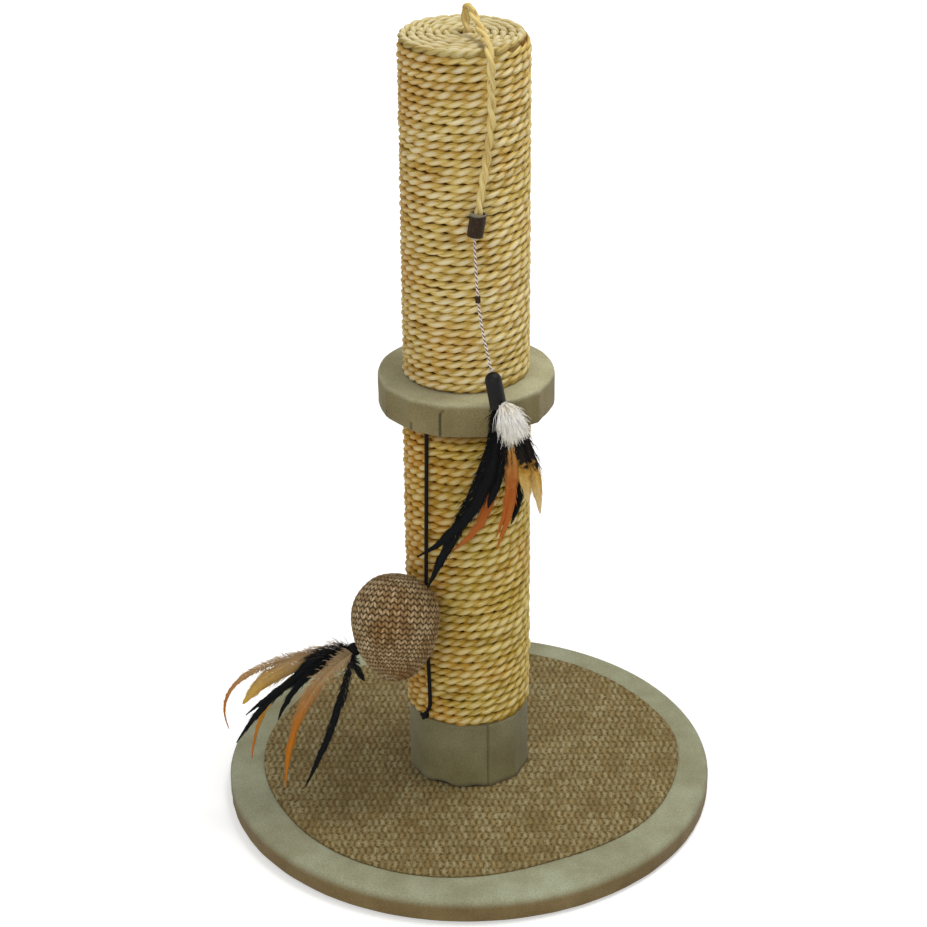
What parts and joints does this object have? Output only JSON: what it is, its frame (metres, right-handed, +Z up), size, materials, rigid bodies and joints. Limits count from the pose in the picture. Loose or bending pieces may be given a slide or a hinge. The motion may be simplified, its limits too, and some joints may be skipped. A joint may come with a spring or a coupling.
{
  "type": "cat scratching post",
  "caption": "Cat scratching post: rope-wound upright with a cloth collar and coiled rope top on a round base with a woven mat, a hanging feather lure and a feathered ball on an elastic.",
  "frame": {"origin": "centre of the base on the floor", "axes": "+Z up along the post, -Y to the front that the picture shows, +X to the right seen from the front"},
  "size_m": [0.3799, 0.38, 0.6361],
  "materials": {
    "suede_cloth": "brushed, grey olive",
    "liner_cloth": "non-woven, dark",
    "fibreboard": "raw",
    "woven_mat": "coarse woven, brown",
    "paper_core": "raw",
    "turned_wood": "raw",
    "zinc_steel": "zinc plated",
    "grass_rope": "twisted dried grass, straw yellow",
    "dark_tube": "dark brown, matt",
    "silver_cord": "twisted, silvery",
    "black_rubber": "satin black",
    "black_elastic": "braided, black",
    "black_feather": "glossy black",
    "rust_feather": "rust orange",
    "gold_feather": "golden tan",
    "white_down": "fluffy, white",
    "stuffing": "loose fibre"
  },
  "bodies": {
    "post": {"base_liner": "liner_cloth", "base_board": "fibreboard", "base_cover": "suede_cloth", "scratch_mat": "woven_mat", "post_bolt": "zinc_steel", "bolt_washer": "zinc_steel", "lower_tube": "paper_core", "lower_bottom_plug": "turned_wood", "bolt_insert": "zinc_steel", "foot_packing": "paper_core", "foot_sleeve": "suede_cloth", "lower_rope_bottom": "grass_rope", "lower_rope_top": "grass_rope", "lower_top_plug": "turned_wood", "lower_stud_insert": "zinc_steel", "joining_stud": "zinc_steel", "collar_core": "fibreboard", "collar_cover": "suede_cloth", "upper_bottom_plug": "turned_wood", "upper_stud_insert": "zinc_steel", "upper_tube": "paper_core", "upper_rope_bottom": "grass_rope", "upper_rope_top": "grass_rope", "upper_top_plug": "turned_wood", "top_coil": "grass_rope", "toy_rope": "grass_rope", "toy_rope_knot": "grass_rope", "toy_ferrule": "dark_tube", "ball_cord": "black_elastic", "ball_cord_top_knot": "black_elastic", "ball_cord_bottom_knot": "black_elastic"},
    "lure_line": {"lure_cord": "silver_cord", "lure_bead": "dark_tube"},
    "lure": {"lure_cap": "black_rubber", "lure_feathers_black": "black_feather", "lure_feathers_rust": "rust_feather", "lure_feather_tan": "gold_feather", "lure_down_white": "white_down"},
    "ball": {"ball_core": "stuffing", "ball_cover": "woven_mat", "ball_binding": "black_elastic", "ball_feathers_black": "black_feather", "ball_feathers_amber": "rust_feather", "ball_feathers_gold": "gold_feather"}
  },
  "joints": [
    {"name": "lure_swing", "type": "hinge", "parent": "post", "child": "lure_line", "pos_m": [0.0063, -0.05325, 0.4825], "axis": [-0.7703, -0.6377, 0], "range_deg": [0, 84]},
    {"name": "lure_flip", "type": "hinge", "parent": "lure_line", "child": "lure", "pos_m": [0.0176, -0.0669, 0.3889], "axis": [-0.7703, -0.6377, 0], "range_deg": [0, 60]},
    {"name": "ball_pull", "type": "slide", "parent": "post", "child": "ball", "axis": [-0.6626, -0.749, 0], "range_m": [0, 0.045], "stiffness_N_per_m": 60, "deforming": ["ball_cord"]}
  ]
}
